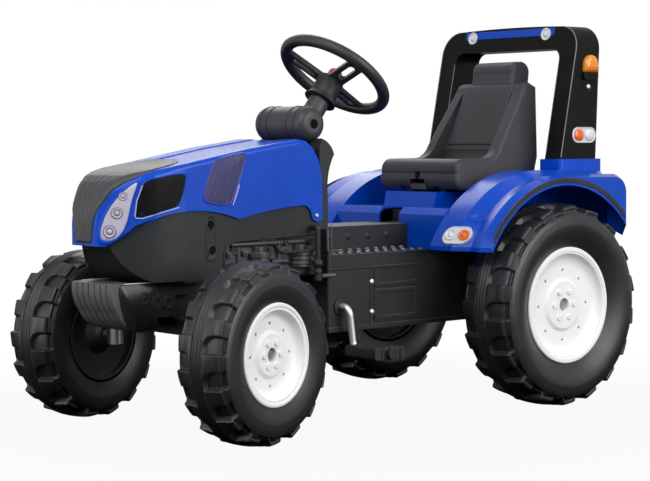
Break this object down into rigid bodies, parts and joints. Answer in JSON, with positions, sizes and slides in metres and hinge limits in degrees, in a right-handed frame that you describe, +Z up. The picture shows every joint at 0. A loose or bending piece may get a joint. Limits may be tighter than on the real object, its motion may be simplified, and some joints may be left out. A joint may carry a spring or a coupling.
{
  "type": "pedal tractor",
  "caption": "Child's ride-on pedal tractor with a blue bonnet and fenders, chain drive to the rear axle, linked front steering, sliding seat and a roll bar.",
  "frame": {"origin": "on the ground under the middle of the bounding box, rest pose", "axes": "+Z up, the tractor drives along -Y, the driver's left is +X"},
  "size_m": [0.612, 1.0918, 0.723],
  "materials": {
    "tyre_black": "matt moulded tread",
    "rim_white": "semi-gloss white",
    "core_black": "satin black",
    "body_blue": "semi-gloss blue",
    "body_black": "satin black with fine grain",
    "engine_grey": "satin dark grey",
    "bar_black": "satin black",
    "seat_grey": "fine grain dark grey",
    "trim_black": "gloss black",
    "trim_white": "gloss pale grey",
    "wheel_black": "satin black",
    "horn_red": "gloss red",
    "frame_paint": "black powder coat",
    "steel": "zinc plated",
    "crank_chrome": "bright plated",
    "bearing_nylon": "nylon",
    "pedal_grey": "ribbed"
  },
  "bodies": {
    "frame": {"chassis_shell": "body_black", "chassis_floor": "body_black", "tow_hitch": "frame_paint", "front_frame": "frame_paint", "front_axle_beam": "frame_paint", "bushes": "bearing_nylon", "drive_chain": "steel", "engine_body": "engine_grey", "engine_reliefs": "engine_grey", "couplings": "body_black", "bonnet": "body_blue", "bonnet_studs": "steel", "bonnet_vents": "trim_black", "headlights": "trim_white", "nose_grille": "trim_black", "dash_cowl": "body_black", "dash_panel": "body_black", "front_weights": "engine_grey", "weight_carrier": "engine_grey", "rear_body": "body_blue", "fender_stripes": "trim_black", "fender_lamps": "trim_white", "roll_bar": "bar_black", "roof_strip": "body_blue", "bar_lamps": "trim_white", "seat_rails": "body_black"},
    "steering": {"steering_wheel": "wheel_black", "steering_shaft": "steel"},
    "horn": {"horn_button": "horn_red"},
    "left_knuckle": {"knuckle_left": "steel", "steering_arm_left": "steel", "knuckle_nuts_left": "steel"},
    "right_knuckle": {"knuckle_right": "steel", "steering_arm_right": "steel", "knuckle_nuts_right": "steel"},
    "tie": {"tie_rod": "steel"},
    "front_left_wheel": {"front_tyre_left": "tyre_black", "front_wheel_core_left": "core_black", "front_rim_left": "rim_white"},
    "front_right_wheel": {"front_tyre_right": "tyre_black", "front_wheel_core_right": "core_black", "front_rim_right": "rim_white"},
    "driven_axle": {"rear_axle": "steel", "axle_caps": "steel", "axle_spacers": "bearing_nylon", "axle_sprocket": "steel", "drive_pin": "steel", "rear_wheel_core_right": "core_black", "rear_tyre_right": "tyre_black", "rear_rim_right": "rim_white"},
    "rear_left_wheel": {"rear_tyre_left": "tyre_black", "rear_wheel_core_left": "core_black", "rear_rim_left": "rim_white"},
    "crank": {"crank_rod": "crank_chrome", "crank_sprocket": "steel", "pedal_caps": "bearing_nylon"},
    "left_pedal": {"pedal_left": "pedal_grey"},
    "right_pedal": {"pedal_right": "pedal_grey"},
    "seat": {"seat_shell": "seat_grey"},
    "latch": {"seat_latch": "seat_grey"}
  },
  "joints": [
    {"name": "steering_turn", "type": "hinge", "parent": "frame", "child": "steering", "pos_m": [0, 0.013, 0.62], "axis": [0, 0.6101, 0.7923], "range_deg": [-41.1, 14.9]},
    {"name": "left_kingpin", "type": "hinge", "parent": "frame", "child": "left_knuckle", "pos_m": [0.157, -0.376, 0.185], "axis": [0, 0, 1], "range_deg": [-41.1, 14.9]},
    {"name": "right_kingpin", "type": "hinge", "parent": "frame", "child": "right_knuckle", "pos_m": [-0.157, -0.376, 0.185], "axis": [0, 0, 1], "range_deg": [-41.1, 14.9]},
    {"name": "tie_rod_pivot", "type": "hinge", "parent": "left_knuckle", "child": "tie", "pos_m": [0.1434, -0.31756, 0.209], "axis": [0, 0, 1], "range_deg": [-14.9, 41.1]},
    {"name": "front_left_spin", "type": "hinge", "parent": "left_knuckle", "child": "front_left_wheel", "pos_m": [0.22713, -0.35968, 0.152], "axis": [0.974, 0.2267, 0], "continuous": true},
    {"name": "front_right_spin", "type": "hinge", "parent": "right_knuckle", "child": "front_right_wheel", "pos_m": [-0.22713, -0.39232, 0.152], "axis": [0.974, 0.2267, 0], "continuous": true},
    {"name": "rear_axle_spin", "type": "hinge", "parent": "frame", "child": "driven_axle", "pos_m": [0, 0.335, 0.19], "axis": [1, 0, 0], "continuous": true},
    {"name": "rear_left_spin", "type": "hinge", "parent": "frame", "child": "rear_left_wheel", "pos_m": [0.245, 0.335, 0.19], "axis": [1, 0, 0], "continuous": true},
    {"name": "crank_spin", "type": "hinge", "parent": "frame", "child": "crank", "pos_m": [0, -0.07, 0.202], "axis": [1, 0, 0], "continuous": true},
    {"name": "left_pedal_spin", "type": "hinge", "parent": "crank", "child": "left_pedal", "pos_m": [0.188, -0.05942, 0.12674], "axis": [1, 0, 0], "continuous": true},
    {"name": "right_pedal_spin", "type": "hinge", "parent": "crank", "child": "right_pedal", "pos_m": [-0.188, -0.08058, 0.27726], "axis": [1, 0, 0], "continuous": true},
    {"name": "seat_slide", "type": "slide", "parent": "frame", "child": "seat", "axis": [0, 1, 0], "range_m": [-0.03, 0.03]},
    {"name": "latch_lift", "type": "slide", "parent": "seat", "child": "latch", "axis": [0, 0, 1], "range_m": [0, 0.008], "stiffness_N_per_m": 300, "springref_m": -0.004},
    {"name": "horn_press", "type": "slide", "parent": "steering", "child": "horn", "axis": [0, -0.6101, -0.7923], "range_m": [0, 0.003], "stiffness_N_per_m": 600, "springref_m": -0.001}
  ],
  "couplings": [
    {"joint": "left_kingpin", "follows": "steering_turn", "ratio": 1},
    {"joint": "right_kingpin", "follows": "steering_turn", "ratio": 1},
    {"joint": "tie_rod_pivot", "follows": "steering_turn", "ratio": -1},
    {"joint": "crank_spin", "follows": "rear_axle_spin", "ratio": 0.8}
  ]
}
